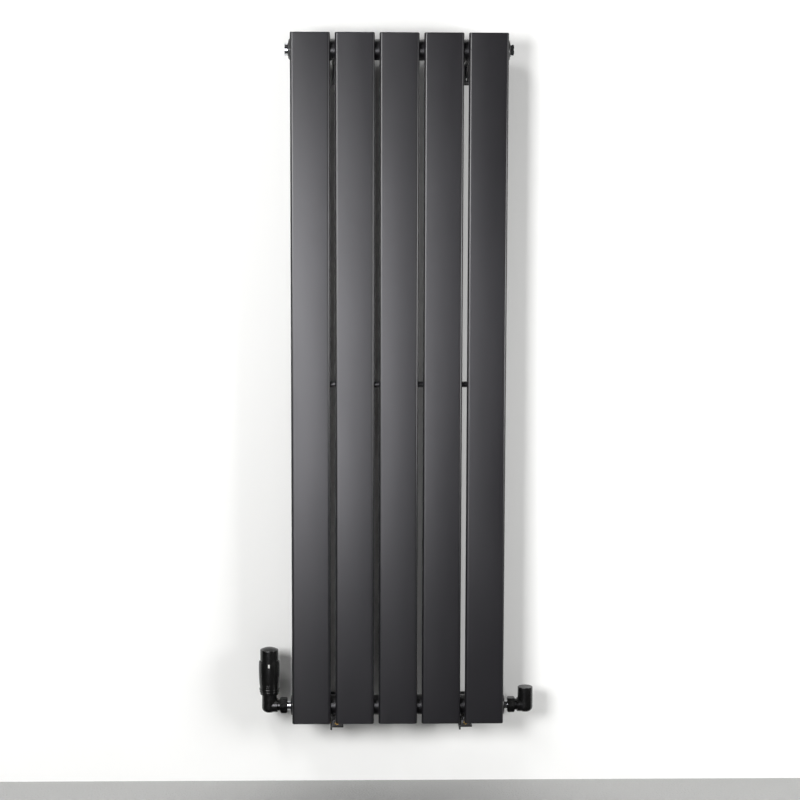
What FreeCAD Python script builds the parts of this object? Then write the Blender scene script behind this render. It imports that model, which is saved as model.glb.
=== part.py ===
import FreeCAD, Part
import math
import os

# Vertical flat-panel radiator, hung on the wall, with a thermostatic valve on its left foot and a
# lockshield valve on its right foot. Millimetres.
# X runs to the right, Y runs towards the wall and Z runs up. The wall is the plane Y = 0, the room is
# on the -Y side, and the origin is the centre of the four wall fixings.

# Panels
panel_count = 5
panel_width = 68.0
panel_gap = 8.0
panel_length = 1200.0
panel_thickness = 11.0
panel_edge_radius = 5.0
panel_wall = 1.5
panel_end_thickness = 2.5
panel_end_edge = 1.6

# How far a cutting shape runs past what it cuts
over = 1.0

# How near a height an edge counts as lying at it
near = 0.01

# Headers, and the way through from each panel into them
header_radius = 18.0
header_wall = 1.5
header_inset = 27.0
wall_clearance = 31.0
nipple_radius = 8.0
nipple_wall = 1.5
nipple_reach = 0.6
cap_dome = 3.2
cap_skirt = 0.64
cap_curve = (1.2, 2.4)
cap_face_radius = 13.5
cap_spigot = 3.0
cap_boss_depth = 11.0
cap_boss_radius = 13.5
stiffener_radius = 5.0
stiffener_inset = 14.0

# Half-inch pipe thread, drawn at its outer radius, in the four end caps
tapping_radius = 10.48
thread_length = 10.0

# Air vent, top left, and blanking plug, top right
seal_thickness = 1.0
vent_flange_radius = 11.0
vent_collar = 1.8
vent_groove = 0.6
vent_groove_depth = 1.2
vent_disc = 3.2
vent_recess_radius = 4.2
vent_recess_depth = 2.9
bleed_radius = 3.0
bleed_clearance = 0.05
bleed_square = 5.0
bleed_seat_radius = 1.2
bleed_length = 6.1
bleed_tip_radius = 2.3
bleed_tip_length = 2.0
bleed_tip_stem = 1.0
bleed_nose = 0.4
bleed_cone = 0.8
bleed_stem_gap = 0.2
vent_edge = 0.5
blank_edge = 0.8
blank_floor = 1.0
blank_flange_radius = 11.0
blank_flange = 1.2
blank_hex = 18.0
blank_hex_height = 4.8
blank_bore = 7.0

# Wall fixings and brackets
fixing_above_header = 7.0
fixing_hole_radius = 3.25
bracket_offset = 6.5
strip = 3.0
hook_width = 15.0
hook_leg_above_header = 19.0
hook_leg_below_header = 56.0
hook_hole_below_header = 46.0
hook_wrap = 45.0
liner = 1.5
liner_back_angle = 40.0
gusset_depth = 26.0
gusset_height = 28.0
shelf_width = 23.0
shelf_drop = 16.5
shelf_leg_height = 48.0
lip_width = 15.0
lip_height = 10.0
lip_from_panel = 5.0
flange_drop = 4.7
saddle_width = 16.0
saddle_thickness = 2.75
saddle_wrap = 50.0
saddle_back_height = 4.5
saddle_key = 1.0
saddle_clearance = 0.05
apron_thickness = 2.5
apron_floor_gap = 0.5
window_width = 8.0
window_height = 4.7
saddle_bolt_radius = 2.0
saddle_bolt_head_radius = 3.5
saddle_bolt_head = 3.0
saddle_bolt_socket = 1.6
saddle_bolt_edge = 0.5
saddle_bolt_end = 0.4
saddle_bolt_above_shelf = 5.5
saddle_nut_flats = 7.0
saddle_nut_height = 3.2
height_screw_radius = 3.0
height_screw_gap = 0.9
height_nut_flats = 10.0
height_nut_height = 1.8
thin_nut_chamfer = 0.5

# Valve bodies: both valves share one casting. Heights count up from the branch axis.
valve_reach = 41.0
body_radius = 13.3
body_top = 19.5
body_bottom = 12.5
body_foot_radius = 9.0
branch_radius = 12.5
branch_length = 15.0
branch_edge = 1.2
union_thread_radius = 10.0
union_thread_length = 12.0
inlet_length = 13.0
inlet_radius = 12.2
inlet_thread_radius = 10.5
inlet_thread_length = 11.0
inlet_edge = 1.0
pipe_bore = 7.6
pipe_stop = 10.0
chamber_radius = 7.5
chamber_half = 9.0
seat_radius = 4.5
seat_half = 1.0
port_inset = 3.0
duct_radius = 5.5
insert_radius = 9.0

# Unions: nut, chromed tail and washer on the radiator side, nut and olive on the pipe side
nut_flats = 25.0
nut_chamfer = 1.6
hexagon_over = 0.1
hexagon_face_inset = 0.2
union_nut_gap = 3.8
union_nut_length = 13.2
union_nut_end = 2.0
washer_thickness = 1.2
tail_collar_radius = 9.5
tail_radius = 8.2
tail_bore = 6.0
tail_clearance = 0.2
pipe_nut_gap = 0.8
pipe_nut_length = 13.5
olive_width = 4.0
olive_radius = 9.0
olive_crown = 9.4
olive_crown_start = 0.4
olive_crown_end = 1.2
olive_lip = 0.3

# Thermostatic insert, pin and disc
insert_flange_radius = 14.0
insert_flange = 3.5
insert_tower_radius = 5.0
insert_tower = 7.0
insert_edge = 0.6
spring_room_radius = 6.0
spring_room = 8.0
spring_seat_thickness = 0.8
spring_seat_hole = 2.8
spring_wire = 0.6
spring_turns = 3.5
pin_radius = 2.0
pin_clearance = 0.04
pin_above_body = 13.5
pin_edge = 0.6
pin_collar_radius = 5.5
pin_collar_height = 13.6
pin_collar = 1.0
disc_radius = 6.2
disc_thickness = 2.0
disc_bore = 1.5
disc_holder = 1.0
disc_land = 0.7
disc_hollow = 0.3
seat_gap = 0.1
pin_closing = 1.8

# Thermostatic head. Heights count up from the top of the valve's body.
ring_radius = 16.0
ring_start = 0.3
ring_top = 6.3
ring_foot = (0.3, 0.4)
ring_foot_edge = (1.0, 1.2)
ring_shoulder = (0.2, 0.4)
ring_shoulder_edge = (0.8, 1.2)
ring_play = 0.3
ring_groove_radius = 15.0
ring_lip_radius = 13.7
ring_lip = 1.0
barrel_start = 6.5
barrel_foot_radius = 16.2
barrel_waist_height = 36.5
barrel_waist_radius = 18.55
barrel_top = 60.5
barrel_rim_radius = 18.3
barrel_groove_heights = (16.0, 19.2)
barrel_groove_radius = 0.6
barrel_floor = 2.0
barrel_pocket = 28.5
barrel_foot_edge = 0.8
barrel_rim_edge = (0.5, 0.6)
barrel_groove_lift = 0.1
spigot_play = 0.1
spigot_side_play = 0.2
spigot_wall = 3.5
tower_play = 0.2
guide_top = 46.5
notch_width = 14.5
notch_bottom = 48.1
notch_over = 2.0
notch_end_gap = 0.3
notch_tip_radius = 2.5
thumb_radius = 8.9
thumb_height = 40.0
thumb_back = 4.0
thumb_depth = 0.5
sensor_radius = 12.5
sensor_clearance = 0.06
sensor_bottom = 18.5
sensor_top = 64.5
sensor_edge = 1.5
plunger_radius = 3.0
plunger_gap = 0.3
pivot_radius = 3.0
pivot_clearance = 0.05
pivot_length = 9.0
overload_wire = 1.0
overload_radius = 8.5
overload_turns = 3.5
handwheel_radius = 16.0
handwheel_gap = 0.2
handwheel_bore = 14.1
guide_gap = 0.1
handwheel_bottom = 32.5
handwheel_edge = 0.4
handwheel_web_height = 72.5
handwheel_web = 2.0
handwheel_shoulder = 80.1
cap_spigot_height = 3.6
cap_spigot_wall = 1.8
dome_height = 5.4
dome_edge = 1.6
dome_wall = 2.2
mark_count = 6
mark_at_rest = 3
mark_step = 50.0
mark_width = 3.2
mark_height = 6.3
mark_depth = 0.6
mark_middle = 54.3

# Lockshield top works. The cap's heights count up from the top of the valve's body.
bonnet_flats = 18.0
bonnet_hex_height = 4.0
bonnet_edge = 0.6
spindle_radius = 4.0
spindle_clearance = 0.05
spindle_square = 6.0
spindle_square_height = 5.0
spindle_bottom = 6.6
spindle_tip_radius = 1.9
spindle_end_gap = 0.2
holder_edge = 0.4
holder_floor = 0.1
stem_seal_radius = 5.2
stem_seal_width = 1.6
stem_seal_height = 12.5
lockshield_closing = 1.5
shield_radius = 13.2
shield_top = 12.8
shield_start = 0.2
shield_wall = 1.5
shield_grip_clearance = 0.1
shield_edge = 1.0

# How far round a quarter bend its middle point lies, for the small eased edges
bend_in = 0.3
bend_up = 0.7

UP = FreeCAD.Vector(0, 0, 1)
RIGHT = FreeCAD.Vector(1, 0, 0)
TO_WALL = FreeCAD.Vector(0, 1, 0)
ORIGIN = FreeCAD.Vector(0, 0, 0)
SAME_POINT = 1e-6

# Places worked out from the sizes above
pitch = panel_width + panel_gap
radiator_width = panel_count * panel_width + (panel_count - 1) * panel_gap
half_width = radiator_width / 2
half_length = panel_length / 2
radiator_x = -bracket_offset
gap_x = pitch * (panel_count - 2) / 2
bracket_xs = (-gap_x, gap_x)
header_y = -(wall_clearance + header_radius)
header_z = half_length - header_inset
panel_back_y = header_y - header_radius
fixing_z = header_z + fixing_above_header
shelf_z = -header_z - header_radius - shelf_drop
apron_front = panel_back_y + lip_from_panel + strip
apron_back = apron_front + apron_thickness
bolt_end = apron_back + saddle_nut_height + saddle_bolt_end
height_screw_y = bolt_end + height_screw_gap + height_screw_radius
union_nut_start = branch_length + union_nut_gap
pin_top = body_top + pin_above_body


def vec(x, y, z):
    return FreeCAD.Vector(x, y, z)


def box(x0, x1, y0, y1, z0, z1):
    return Part.makeBox(x1 - x0, y1 - y0, z1 - z0, vec(x0, y0, z0))


def rod(radius, start, end):
    """A cylinder between two points."""
    along = end.sub(start)
    return Part.makeCylinder(radius, along.Length, start, along)


def tube(outer, inner, start, end):
    return rod(outer, start, end).cut(rod(inner, start, end))


def outline(start, *steps):
    """A closed face in the XZ plane. A step is a point, or a pair of points: an arc through the
    first to the second. A step that ends where it starts draws nothing."""
    edges = []
    here = vec(start[0], 0, start[1])
    for step in steps + (start,):
        middle = None
        end = step
        if isinstance(step[0], tuple):
            middle, end = step
        there = vec(end[0], 0, end[1])
        if here.distanceToPoint(there) < SAME_POINT:
            continue
        if middle:
            edge = Part.Arc(here, vec(middle[0], 0, middle[1]), there)
        else:
            edge = Part.LineSegment(here, there)
        edges.append(edge.toShape())
        here = there
    return Part.Face(Part.Wire(edges))


def turned(start, *steps):
    """A solid turned about Z from an outline given as (radius, height)."""
    return outline(start, *steps).revolve(ORIGIN, UP, 360)


def aimed(shape, direction, place=ORIGIN):
    """Turns a shape's own Z axis to a direction, then moves its origin to a place."""
    result = shape.copy()
    turn = FreeCAD.Placement(place, FreeCAD.Rotation(UP, direction))
    result.Placement = turn.multiply(shape.Placement)
    return result


def moved(shape, x, y, z):
    result = shape.copy()
    result.translate(vec(x, y, z))
    return result


def mirrored_x(shape):
    return shape.mirror(ORIGIN, RIGHT)


def hexagon(flats, z0, z1, angle=0.0):
    """A hexagonal bar along Z, with a corner at the given angle from X."""
    corner = flats / math.sqrt(3)
    points = []
    for i in range(7):
        a = math.radians(angle + 60 * i)
        points.append(vec(corner * math.cos(a), corner * math.sin(a), z0))
    return Part.Face(Part.makePolygon(points)).extrude(vec(0, 0, z1 - z0))


def chamfered_hexagon(flats, z0, z1, chamfer, angle=0.0):
    """A hexagonal bar along Z whose corners are turned off at both ends."""
    corner = flats / math.sqrt(3) + hexagon_over
    face = flats / 2 - hexagon_face_inset
    turn = turned(
        (0, z0), (face, z0), (corner, z0 + chamfer), (corner, z1 - chamfer), (face, z1), (0, z1))
    return hexagon(flats, z0, z1, angle).common(turn)


def coil(radius, wire, turns, z0, z1):
    """A coil spring about Z with its ends at two heights."""
    rise = z1 - z0 - wire
    path = Part.makeHelix(rise / turns, rise, radius)
    section = Part.Wire(Part.makeCircle(wire / 2, vec(radius, 0, 0), TO_WALL))
    spring = Part.Wire(path).makePipeShell([section], True, True)
    return moved(spring, 0, 0, z0 + wire / 2)


def save(node, *solids):
    shape = solids[0] if len(solids) == 1 else Part.makeCompound(list(solids))
    shape.exportStep("parts/" + node + ".step")


# ---- Radiator ----

def runs_upright(edge):
    return abs(edge.tangentAt(edge.FirstParameter).z) > 0.9


def panel_section(inset):
    """The panel's flat oval section at its middle height, inset from the outside."""
    half = panel_width / 2 - inset
    depth = panel_thickness / 2 - inset
    section = box(-half, half, -depth, depth, -over, over)
    long_edges = [edge for edge in section.Edges if runs_upright(edge)]
    rounded = section.makeFillet(panel_edge_radius - inset, long_edges)
    return rounded.slice(UP, 0)[0]


def panel_bar(inset, z0, z1):
    face = Part.Face(panel_section(inset))
    return moved(face.extrude(vec(0, 0, z1 - z0)), 0, panel_back_y - panel_thickness / 2, z0)


def panel_tube():
    end = half_length - panel_end_thickness
    shell = panel_bar(0, -end, end).cut(panel_bar(panel_wall, -end, end))
    front = panel_back_y - panel_wall - over
    for z in (-header_z, header_z):
        shell = shell.cut(rod(nipple_radius, vec(0, front, z), vec(0, panel_back_y + over, z)))
    return shell


def panel_end():
    """The plate that closes a panel's top, with its outer edge eased."""
    plate = panel_bar(0, half_length - panel_end_thickness, half_length)
    rim = [edge for edge in plate.Edges if edge.BoundBox.ZMin > half_length - near]
    return plate.makeFillet(panel_end_edge, rim)


def nipple(z):
    """The short pipe that joins a panel's back wall to a header."""
    inner = header_radius - header_wall
    end = header_y - math.sqrt(inner ** 2 - nipple_radius ** 2) + nipple_reach
    start = panel_back_y - panel_wall
    return tube(nipple_radius, nipple_radius - nipple_wall, vec(0, start, z), vec(0, end, z))


def header(z):
    left = radiator_x - half_width
    right = radiator_x + half_width
    start = vec(left, header_y, z)
    end = vec(right, header_y, z)
    shell = tube(header_radius, header_radius - header_wall, start, end)
    for x in panel_xs:
        way_in = rod(nipple_radius, vec(x, panel_back_y - over, z), vec(x, header_y - over, z))
        shell = shell.cut(way_in)
    return shell


def end_cap():
    """A header's end cap, turned about Z, with its outside facing up and its shoulder at zero."""
    inner = header_radius - header_wall
    return turned(
        (inner, -cap_spigot), (inner, 0), (header_radius, 0), (header_radius, cap_skirt),
        ((header_radius - cap_curve[0], cap_curve[1]), (cap_face_radius, cap_dome)),
        (tapping_radius, cap_dome), (tapping_radius, -cap_boss_depth), (cap_boss_radius, -cap_boss_depth),
        (cap_boss_radius, -cap_spigot))


def at_header_end(shape, side, z):
    """Puts a shape that is turned about Z at a header's left (-1) or right (1) end."""
    return aimed(shape, vec(side, 0, 0), vec(radiator_x + side * half_width, header_y, z))


panel_xs = [radiator_x + (i - (panel_count - 1) / 2) * pitch for i in range(panel_count)]


def build_radiator():
    tube_shape = panel_tube()
    end_shape = panel_end()
    lower_end = end_shape.mirror(ORIGIN, UP)
    for i, x in enumerate(panel_xs):
        save("panel_%d" % (i + 1), moved(tube_shape, x, 0, 0))
    save("panel_ends_top", *[moved(end_shape, x, 0, 0) for x in panel_xs])
    save("panel_ends_bottom", *[moved(lower_end, x, 0, 0) for x in panel_xs])
    cap = end_cap()
    for name, z in (("top", header_z), ("bottom", -header_z)):
        save("header_" + name, header(z))
        save("panel_nipples_" + name, *[moved(nipple(z), x, 0, 0) for x in panel_xs])
        save("header_end_caps_" + name, *[at_header_end(cap, side, z) for side in (-1, 1)])
    reach = half_width - stiffener_inset
    stiffener_y = panel_back_y + stiffener_radius
    save("stiffener_bar", rod(
        stiffener_radius, vec(radiator_x - reach, stiffener_y, 0), vec(radiator_x + reach, stiffener_y, 0)))


# ---- Air vent and blanking plug, turned about Z with the cap's face at zero ----

def seal_ring(outer):
    return tube(outer, tapping_radius, vec(0, 0, 0), vec(0, 0, seal_thickness))


def vent_levels():
    """Heights in the air vent: its collar, its outer disc's two faces, the floor of the recess, the
    foot of the bleed screw and the seat under the screw's tip."""
    collar = seal_thickness + vent_collar
    disc = collar + vent_groove
    face = disc + vent_disc
    floor = face - vent_recess_depth
    foot = floor - bleed_length
    return collar, disc, face, floor, foot, foot - bleed_tip_length


def air_vent_plug():
    collar, disc, face, floor, foot, seat = vent_levels()
    bore = bleed_radius + bleed_clearance
    waist = vent_flange_radius - vent_groove_depth
    return turned(
        (bleed_seat_radius, -thread_length), (tapping_radius, -thread_length),
        (tapping_radius, seal_thickness), (vent_flange_radius, seal_thickness),
        (vent_flange_radius, collar), (waist, collar), (waist, disc), (vent_flange_radius, disc),
        (vent_flange_radius, face - vent_edge), (vent_flange_radius - vent_edge, face),
        (vent_recess_radius, face), (vent_recess_radius, floor), (bore, floor), (bore, seat),
        (bleed_seat_radius, seat))


def bleed_screw():
    face, floor, foot = vent_levels()[2:5]
    half = bleed_square / 2
    shank = rod(bleed_radius, vec(0, 0, foot), vec(0, 0, floor))
    square = box(-half, half, -half, half, floor, face)
    socket = rod(bleed_tip_stem + bleed_clearance, vec(0, 0, foot), vec(0, 0, foot + bleed_tip_length))
    return shank.fuse(square).cut(socket).removeSplitter()


def bleed_tip():
    """The soft cone that the bleed screw presses on its seat."""
    foot, seat = vent_levels()[4:]
    nose = bleed_seat_radius + bleed_nose
    stem_top = foot + bleed_tip_length - bleed_stem_gap
    under = foot - bleed_clearance
    return turned(
        (0, seat + bleed_clearance), (nose, seat + bleed_clearance), (bleed_tip_radius, seat + bleed_cone),
        (bleed_tip_radius, under), (bleed_tip_stem, under), (bleed_tip_stem, stem_top), (0, stem_top))


def blanking_plug():
    top = seal_thickness + blank_flange
    flange = rod(blank_flange_radius, vec(0, 0, seal_thickness), vec(0, 0, top))
    thread = rod(tapping_radius, vec(0, 0, -thread_length), vec(0, 0, seal_thickness))
    head = chamfered_hexagon(blank_hex, top, top + blank_hex_height, blank_edge, 30)
    bore = rod(blank_bore, vec(0, 0, -thread_length), vec(0, 0, -blank_floor))
    return flange.fuse(thread).fuse(head).cut(bore).removeSplitter()


def build_plugs():
    parts = (
        ("air_vent_plug", air_vent_plug(), -1), ("air_vent_seal", seal_ring(vent_flange_radius), -1),
        ("bleed_screw", bleed_screw(), -1), ("bleed_tip", bleed_tip(), -1),
        ("blanking_plug", blanking_plug(), 1), ("blanking_plug_seal", seal_ring(blank_flange_radius), 1))
    for node, shape, side in parts:
        save(node, at_header_end(moved(shape, 0, 0, cap_dome), side, header_z))


# ---- Brackets, centred on X = 0 ----

def ring_sector(inner, outer, width, from_angle, to_angle, z):
    """Part of a ring about a header's axis, between two angles counted from straight down, with
    the room side positive."""
    ring = tube(outer, inner, vec(-width / 2, header_y, z), vec(width / 2, header_y, z))
    far = outer * 3
    points = [vec(-width, header_y, z)]
    steps = 4
    for i in range(steps + 1):
        a = math.radians(from_angle + (to_angle - from_angle) * i / steps)
        points.append(vec(-width, header_y - far * math.sin(a), z - far * math.cos(a)))
    points.append(points[0])
    wedge = Part.Face(Part.makePolygon(points)).extrude(vec(2 * width, 0, 0))
    return ring.common(wedge)


def wall_hole(z):
    return rod(fixing_hole_radius, vec(0, -strip - over, z), vec(0, over, z))


def hook_bracket():
    """The upper bracket: a wall leg, an arm under the header and a lip that curls up in front."""
    half = hook_width / 2
    inner = header_radius + liner
    arm_top = header_z - inner
    leg_bottom = header_z - hook_leg_below_header
    leg = box(-half, half, -strip, 0, leg_bottom, header_z + hook_leg_above_header)
    arm = box(-half, half, header_y, -strip, arm_top - strip, arm_top)
    curl = ring_sector(inner, inner + strip, hook_width, 0, hook_wrap, header_z)
    arm_bottom = arm_top - strip
    corner = [
        vec(-strip / 2, -strip, arm_bottom), vec(-strip / 2, -strip - gusset_depth, arm_bottom),
        vec(-strip / 2, -strip, arm_bottom - gusset_height)]
    gusset = Part.Face(Part.makePolygon(corner + corner[:1])).extrude(vec(strip, 0, 0))
    bracket = leg.fuse(arm).fuse(curl).fuse(gusset)
    for z in (fixing_z, header_z - hook_hole_below_header):
        bracket = bracket.cut(wall_hole(z))
    return bracket.removeSplitter()


def shelf_bracket():
    """The lower bracket: a wall leg, a shelf under the header with a side flange, and a front lip."""
    half = shelf_width / 2
    top = shelf_z
    bottom = top - strip
    lip_front = apron_front - strip
    lip_back = apron_front
    leg = box(-half, half, -strip, 0, bottom, bottom + shelf_leg_height)
    shelf = box(-half, half, lip_front, 0, bottom, top)
    flange = box(-half, -half + strip, lip_front, 0, bottom - flange_drop, bottom)
    lip = box(-lip_width / 2, lip_width / 2, lip_front, lip_back, top, top + lip_height)
    bolt_z = top + saddle_bolt_above_shelf
    bracket = leg.fuse(shelf).fuse(flange).fuse(lip)
    bolt_hole = rod(saddle_bolt_radius, vec(0, lip_front - over, bolt_z), vec(0, lip_back + over, bolt_z))
    screw_hole = rod(
        height_screw_radius, vec(0, height_screw_y, bottom - over), vec(0, height_screw_y, top + over))
    bracket = bracket.cut(wall_hole(-fixing_z)).cut(bolt_hole).cut(screw_hole)
    return bracket.removeSplitter()


def header_saddle():
    """The plastic cradle under the lower header, with an apron that is bolted to the bracket's lip."""
    half = saddle_width / 2
    inner = header_radius + saddle_clearance
    outer = inner + saddle_thickness
    cradle = ring_sector(inner, outer, saddle_width, -saddle_wrap, saddle_wrap, -header_z)
    cradle_bottom = -header_z - outer
    apron_top = -header_z - header_radius + saddle_back_height
    apron = box(-half, half, apron_front, apron_back, shelf_z + apron_floor_gap, apron_top)
    apron = apron.cut(rod(
        outer - saddle_key, vec(-half - over, header_y, -header_z), vec(half + over, header_y, -header_z)))
    bolt_z = shelf_z + saddle_bolt_above_shelf
    saddle = cradle.fuse(apron)
    saddle = saddle.cut(box(
        -window_width / 2, window_width / 2, apron_front - over, apron_back + over,
        cradle_bottom - window_height, cradle_bottom))
    saddle = saddle.cut(rod(
        saddle_bolt_radius, vec(0, apron_front - over, bolt_z), vec(0, apron_back + over, bolt_z)))
    return saddle.removeSplitter()


def saddle_bolt():
    """A socket-head bolt with its head on the room side of the lip."""
    lip_front = apron_front - strip
    shank = bolt_end - lip_front
    z = shelf_z + saddle_bolt_above_shelf
    head = rod(saddle_bolt_head_radius, vec(0, 0, -saddle_bolt_head), vec(0, 0, 0))
    rim = [edge for edge in head.Edges if edge.BoundBox.ZMax < near - saddle_bolt_head]
    head = head.makeFillet(saddle_bolt_edge, rim)
    bolt = head.fuse(rod(saddle_bolt_radius, vec(0, 0, 0), vec(0, 0, shank)))
    socket_bottom = saddle_bolt_socket - saddle_bolt_head
    socket = hexagon(saddle_bolt_socket * 2, -saddle_bolt_head - over, socket_bottom)
    return aimed(bolt.cut(socket), TO_WALL, vec(0, lip_front, z))


def hex_nut(flats, height, hole):
    nut = chamfered_hexagon(flats, 0, height, min(thin_nut_chamfer, height / 4), 0)
    return nut.cut(rod(hole, vec(0, 0, -over), vec(0, 0, height + over)))


def saddle_nut():
    nut = hex_nut(saddle_nut_flats, saddle_nut_height, saddle_bolt_radius)
    return aimed(nut, TO_WALL, vec(0, apron_back, shelf_z + saddle_bolt_above_shelf))


def height_screw():
    """The upright screw that carries the saddle at its set height above the shelf."""
    saddle_bottom = -header_z - header_radius - saddle_clearance - saddle_thickness
    foot = vec(0, height_screw_y, shelf_z - strip)
    return rod(height_screw_radius, foot, vec(0, height_screw_y, saddle_bottom))


def height_nut():
    nut = hex_nut(height_nut_flats, height_nut_height, height_screw_radius)
    return moved(nut, 0, height_screw_y, shelf_z)


def build_brackets():
    inner = header_radius
    hook_liner = ring_sector(inner, inner + liner, hook_width, -liner_back_angle, hook_wrap, header_z)
    for name, x in zip(("left", "right"), bracket_xs):
        save("bracket_top_" + name, moved(hook_bracket(), x, 0, 0))
        save("bracket_bottom_" + name, moved(shelf_bracket(), x, 0, 0))
    groups = (
        ("hook_liners", hook_liner), ("header_saddles", header_saddle()), ("saddle_bolts", saddle_bolt()),
        ("saddle_nuts", saddle_nut()), ("height_screws", height_screw()), ("height_nuts", height_nut()))
    for node, shape in groups:
        save(node, *[moved(shape, x, 0, 0) for x in bracket_xs])


# ---- Valves, each in its own frame: the radiator towards +X, the wall towards +Y, up +Z, and the
# ---- body's centre at zero ----

def valve_body():
    far = chamber_radius - port_inset
    out_end = branch_length + union_thread_length
    column = rod(body_radius, vec(0, 0, -body_bottom), vec(0, 0, body_top))
    foot = [edge for edge in column.Edges if edge.BoundBox.ZMax < near - body_bottom]
    column = column.makeFillet(body_foot_radius, foot)
    branch = aimed(turned(
        (0, 0), (branch_radius, 0), (branch_radius, branch_length - branch_edge),
        (branch_radius - branch_edge, branch_length), (union_thread_radius, branch_length),
        (union_thread_radius, out_end), (0, out_end)), RIGHT)
    inlet_end = inlet_length + inlet_thread_length
    inlet = aimed(turned(
        (0, 0), (inlet_radius, 0), (inlet_radius, inlet_length - inlet_edge),
        (inlet_radius - inlet_edge, inlet_length),
        (inlet_thread_radius, inlet_length), (inlet_thread_radius, inlet_end), (0, inlet_end)), TO_WALL)
    body = column.fuse(branch).fuse(inlet)
    chamber = rod(chamber_radius, vec(0, 0, -chamber_half), vec(0, 0, chamber_half))
    seat = tube(chamber_radius, seat_radius, vec(0, 0, -seat_half), vec(0, 0, seat_half))
    body = body.cut(chamber.cut(seat))
    body = body.cut(rod(insert_radius, vec(0, 0, chamber_half), vec(0, 0, body_top + over)))
    wide = duct_radius * 2
    lower_half = box(-wide, wide, 0, wide * 2, -wide, -seat_half)
    upper_half = box(0, wide * 2, -wide, wide, seat_half, wide)
    in_duct = rod(duct_radius, vec(0, far, 0), vec(0, pipe_stop, 0)).common(lower_half)
    in_duct = in_duct.fuse(rod(duct_radius, vec(0, pipe_stop - over, 0), vec(0, pipe_stop + over, 0)))
    out_duct = rod(duct_radius, vec(far, 0, 0), vec(pipe_stop, 0, 0)).common(upper_half)
    out_duct = out_duct.fuse(rod(duct_radius, vec(pipe_stop - over, 0, 0), vec(out_end + over, 0, 0)))
    socket = aimed(turned(
        (0, pipe_stop), (pipe_bore, pipe_stop), (pipe_bore, inlet_end - (olive_radius - pipe_bore)),
        (olive_radius, inlet_end), (olive_radius, inlet_end + over), (0, inlet_end + over)), TO_WALL)
    return body.cut(in_duct).cut(out_duct).cut(socket).removeSplitter()


def union_nut():
    """The hexagon nut that draws the tail onto the body, with a corner facing the room."""
    end = union_nut_start + union_nut_length
    shoulder = end - union_nut_end
    nut = chamfered_hexagon(nut_flats, union_nut_start, end, nut_chamfer, 90)
    nut = nut.cut(rod(union_thread_radius, vec(0, 0, union_nut_start - over), vec(0, 0, shoulder)))
    nut = nut.cut(rod(tail_radius + tail_clearance, vec(0, 0, shoulder - over), vec(0, 0, end + over)))
    return aimed(nut, RIGHT)


def tail_washer():
    start = branch_length + union_thread_length
    return tube(tail_collar_radius, tail_bore, vec(start, 0, 0), vec(start + washer_thickness, 0, 0))


def tail():
    """The chromed tail: a collar inside the nut, a plain neck and the thread in the end cap."""
    start = branch_length + union_thread_length + washer_thickness
    shoulder = union_nut_start + union_nut_length - union_nut_end
    face = valve_reach - cap_dome
    end = face + thread_length
    return aimed(turned(
        (tail_bore, start), (tail_collar_radius, start), (tail_collar_radius, shoulder),
        (tail_radius, shoulder), (tail_radius, face), (tapping_radius, face), (tapping_radius, end),
        (tail_bore, end)), RIGHT)


def olive():
    """The brass ring that the pipe nut squeezes onto the pipe."""
    mouth = inlet_length + inlet_thread_length
    slope = olive_radius - pipe_bore
    start = mouth - slope
    return aimed(turned(
        (pipe_bore, start), (olive_radius, mouth), (olive_crown, mouth + olive_crown_start),
        (olive_crown, mouth + olive_crown_end), (pipe_bore + olive_lip, start + olive_width),
        (pipe_bore, start + olive_width)), TO_WALL)


def pipe_nut():
    """The hexagon nut on the inlet thread. Its end wall bears on the olive."""
    start = inlet_length + pipe_nut_gap
    end = start + pipe_nut_length
    mouth = inlet_length + inlet_thread_length
    olive_end = mouth - (olive_radius - pipe_bore) + olive_width
    nut = chamfered_hexagon(nut_flats, start, end, nut_chamfer, 0)
    nut = nut.cut(turned(
        (0, start - over), (inlet_thread_radius, start - over), (inlet_thread_radius, olive_end),
        (pipe_bore, olive_end), (pipe_bore, end + over), (0, end + over)))
    return aimed(nut, TO_WALL)


def thermostatic_insert():
    """The screwed insert: threaded plug, flange for the head's ring, and the pin's gland tower."""
    flange_top = body_top + insert_flange
    tower_top = flange_top + insert_tower
    bore = pin_radius + pin_clearance
    room_top = chamber_half + spring_room
    return turned(
        (spring_room_radius, chamber_half), (insert_radius, chamber_half), (insert_radius, body_top),
        (insert_flange_radius, body_top), (insert_flange_radius, flange_top),
        (insert_tower_radius, flange_top), (insert_tower_radius, tower_top - insert_edge),
        (insert_tower_radius - insert_edge, tower_top), (bore, tower_top),
        (bore, room_top), (spring_room_radius, room_top))


def valve_pin():
    disc_bottom = seat_half + pin_closing + seat_gap
    disc_top = disc_bottom + disc_thickness
    holder_top = disc_top + disc_holder
    collar_top = pin_collar_height + pin_collar
    rivet_end = disc_bottom + disc_hollow
    land = disc_radius - disc_land
    return turned(
        (0, rivet_end), (disc_bore, rivet_end), (disc_bore, disc_top),
        (land, disc_top), (land, holder_top), (pin_radius, holder_top),
        (pin_radius, pin_collar_height), (pin_collar_radius, pin_collar_height),
        (pin_collar_radius, collar_top), (pin_radius, collar_top), (pin_radius, pin_top - pin_edge),
        (pin_radius - pin_edge, pin_top), (0, pin_top))


def rubber_disc(closing):
    bottom = seat_half + closing + seat_gap
    return tube(disc_radius, disc_bore, vec(0, 0, bottom), vec(0, 0, bottom + disc_thickness))


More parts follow.
